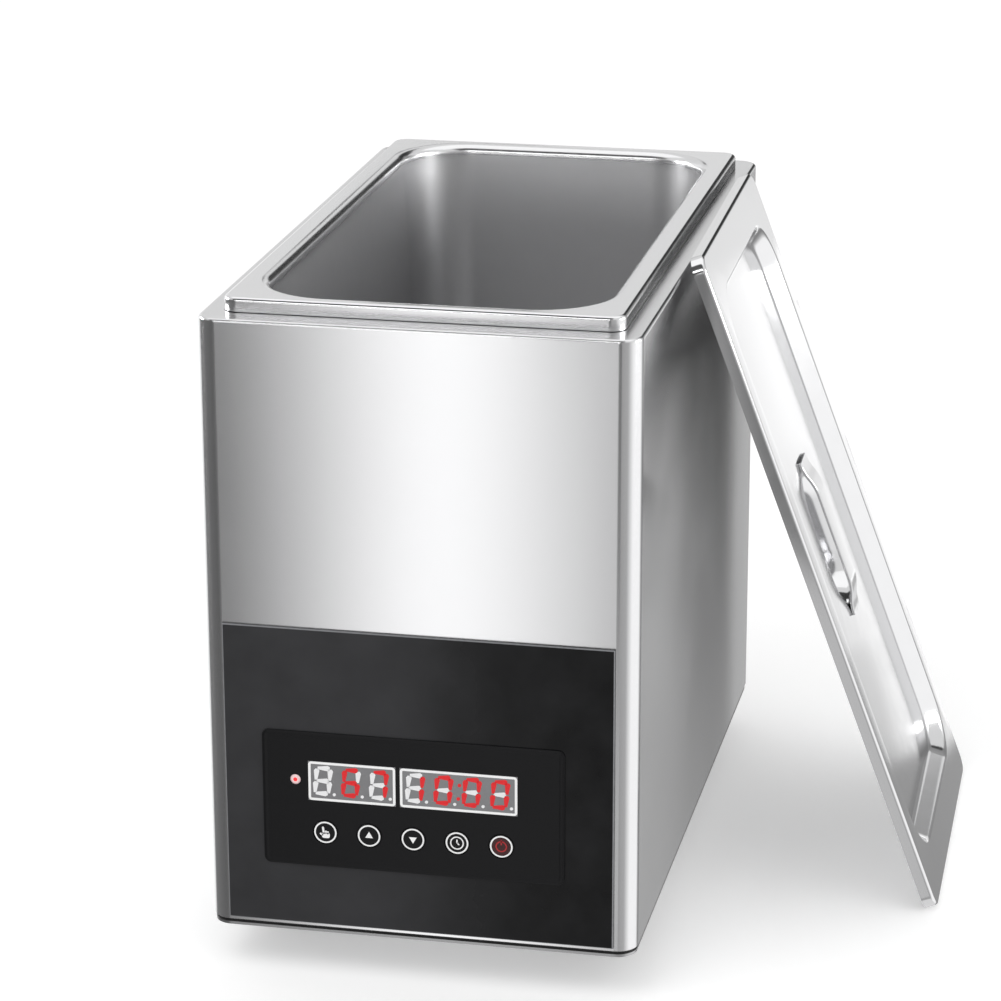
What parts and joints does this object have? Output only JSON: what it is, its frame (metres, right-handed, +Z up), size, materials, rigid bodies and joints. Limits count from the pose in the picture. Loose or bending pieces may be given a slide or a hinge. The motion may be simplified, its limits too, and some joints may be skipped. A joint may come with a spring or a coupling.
{
  "type": "commercial egg boiler",
  "caption": "Upright stainless housing with a lift-out gastronorm pan, a black control panel with displays and round keys, and a pressed lid leaning on its side.",
  "frame": {"origin": "on the floor under the middle of the housing's footprint", "axes": "+X to the right as one faces the controls, +Y to the back, +Z up"},
  "size_m": [0.316, 0.3684, 0.3086],
  "materials": {
    "satin_stainless": "fine vertical brushing",
    "drawn_stainless": "polished",
    "mill_stainless": "mill finish",
    "zinc_steel": "zinc plated",
    "black_rubber": "matt",
    "mineral_wool": "fibrous",
    "aluminium_plate": "mill finish",
    "black_front": "satin",
    "black_film": "satin",
    "grey_pane": "gloss",
    "display_face": "gloss",
    "red_lamp": "clear",
    "black_nylon": "matt",
    "green_laminate": "satin",
    "brass_spacer": "turned",
    "lacquered_core": "lacquered",
    "brown_phenolic": "moulded"
  },
  "bodies": {
    "housing": {"front_wall": "satin_stainless", "rear_wall": "satin_stainless", "left_wall": "satin_stainless", "right_wall": "satin_stainless", "top_deck": "satin_stainless", "base_tray": "mill_stainless", "base_seal": "black_rubber", "front_left_foot": "black_rubber", "front_right_foot": "black_rubber", "rear_left_foot": "black_rubber", "rear_right_foot": "black_rubber", "foot_screws": "zinc_steel", "foot_nuts": "zinc_steel", "casing_screws": "zinc_steel", "casing_nuts": "zinc_steel", "well_tank": "mill_stainless", "well_insulation": "mineral_wool", "heat_spreader": "aluminium_plate", "heating_element": "mill_stainless", "element_clamps": "zinc_steel", "clamp_studs": "zinc_steel", "stud_nuts": "zinc_steel", "heat_shield": "mill_stainless", "thermal_cutout": "brown_phenolic", "temperature_probe": "mill_stainless", "probe_clip": "mill_stainless", "control_panel": "black_front", "key_membrane": "black_film", "temperature_window": "grey_pane", "timer_window": "grey_pane", "temperature_display": "display_face", "timer_display": "display_face", "heating_lamp": "red_lamp", "tact_switches": "black_nylon", "control_board": "green_laminate", "board_spacers": "brass_spacer", "power_board": "green_laminate", "power_board_spacers": "brass_spacer", "transformer": "lacquered_core", "power_relay": "black_nylon", "terminal_block": "black_nylon", "cable_gland": "black_nylon", "gland_nut": "black_nylon"},
    "pan": {"gn_pan": "drawn_stainless"},
    "lid": {"lid_sheet": "drawn_stainless", "lid_handle": "drawn_stainless"},
    "set_key_cap": {"set_key": "black_nylon"},
    "plus_key_cap": {"plus_key": "black_nylon"},
    "minus_key_cap": {"minus_key": "black_nylon"},
    "timer_key_cap": {"timer_key": "black_nylon"},
    "power_key_cap": {"power_key": "black_nylon"}
  },
  "joints": [
    {"name": "pan_lift", "type": "slide", "parent": "housing", "child": "pan", "axis": [0, 0, 1], "range_m": [0, 0.2]},
    {"name": "lid_lift", "type": "slide", "parent": "housing", "child": "lid", "axis": [0, 0, 1], "range_m": [0, 0.2]},
    {"name": "set_key_press", "type": "slide", "parent": "housing", "child": "set_key_cap", "axis": [0, 1, 0], "range_m": [0, 0.0004], "stiffness_N_per_m": 2000},
    {"name": "plus_key_press", "type": "slide", "parent": "housing", "child": "plus_key_cap", "axis": [0, 1, 0], "range_m": [0, 0.0004], "stiffness_N_per_m": 2000},
    {"name": "minus_key_press", "type": "slide", "parent": "housing", "child": "minus_key_cap", "axis": [0, 1, 0], "range_m": [0, 0.0004], "stiffness_N_per_m": 2000},
    {"name": "timer_key_press", "type": "slide", "parent": "housing", "child": "timer_key_cap", "axis": [0, 1, 0], "range_m": [0, 0.0004], "stiffness_N_per_m": 2000},
    {"name": "power_key_press", "type": "slide", "parent": "housing", "child": "power_key_cap", "axis": [0, 1, 0], "range_m": [0, 0.0004], "stiffness_N_per_m": 2000}
  ]
}
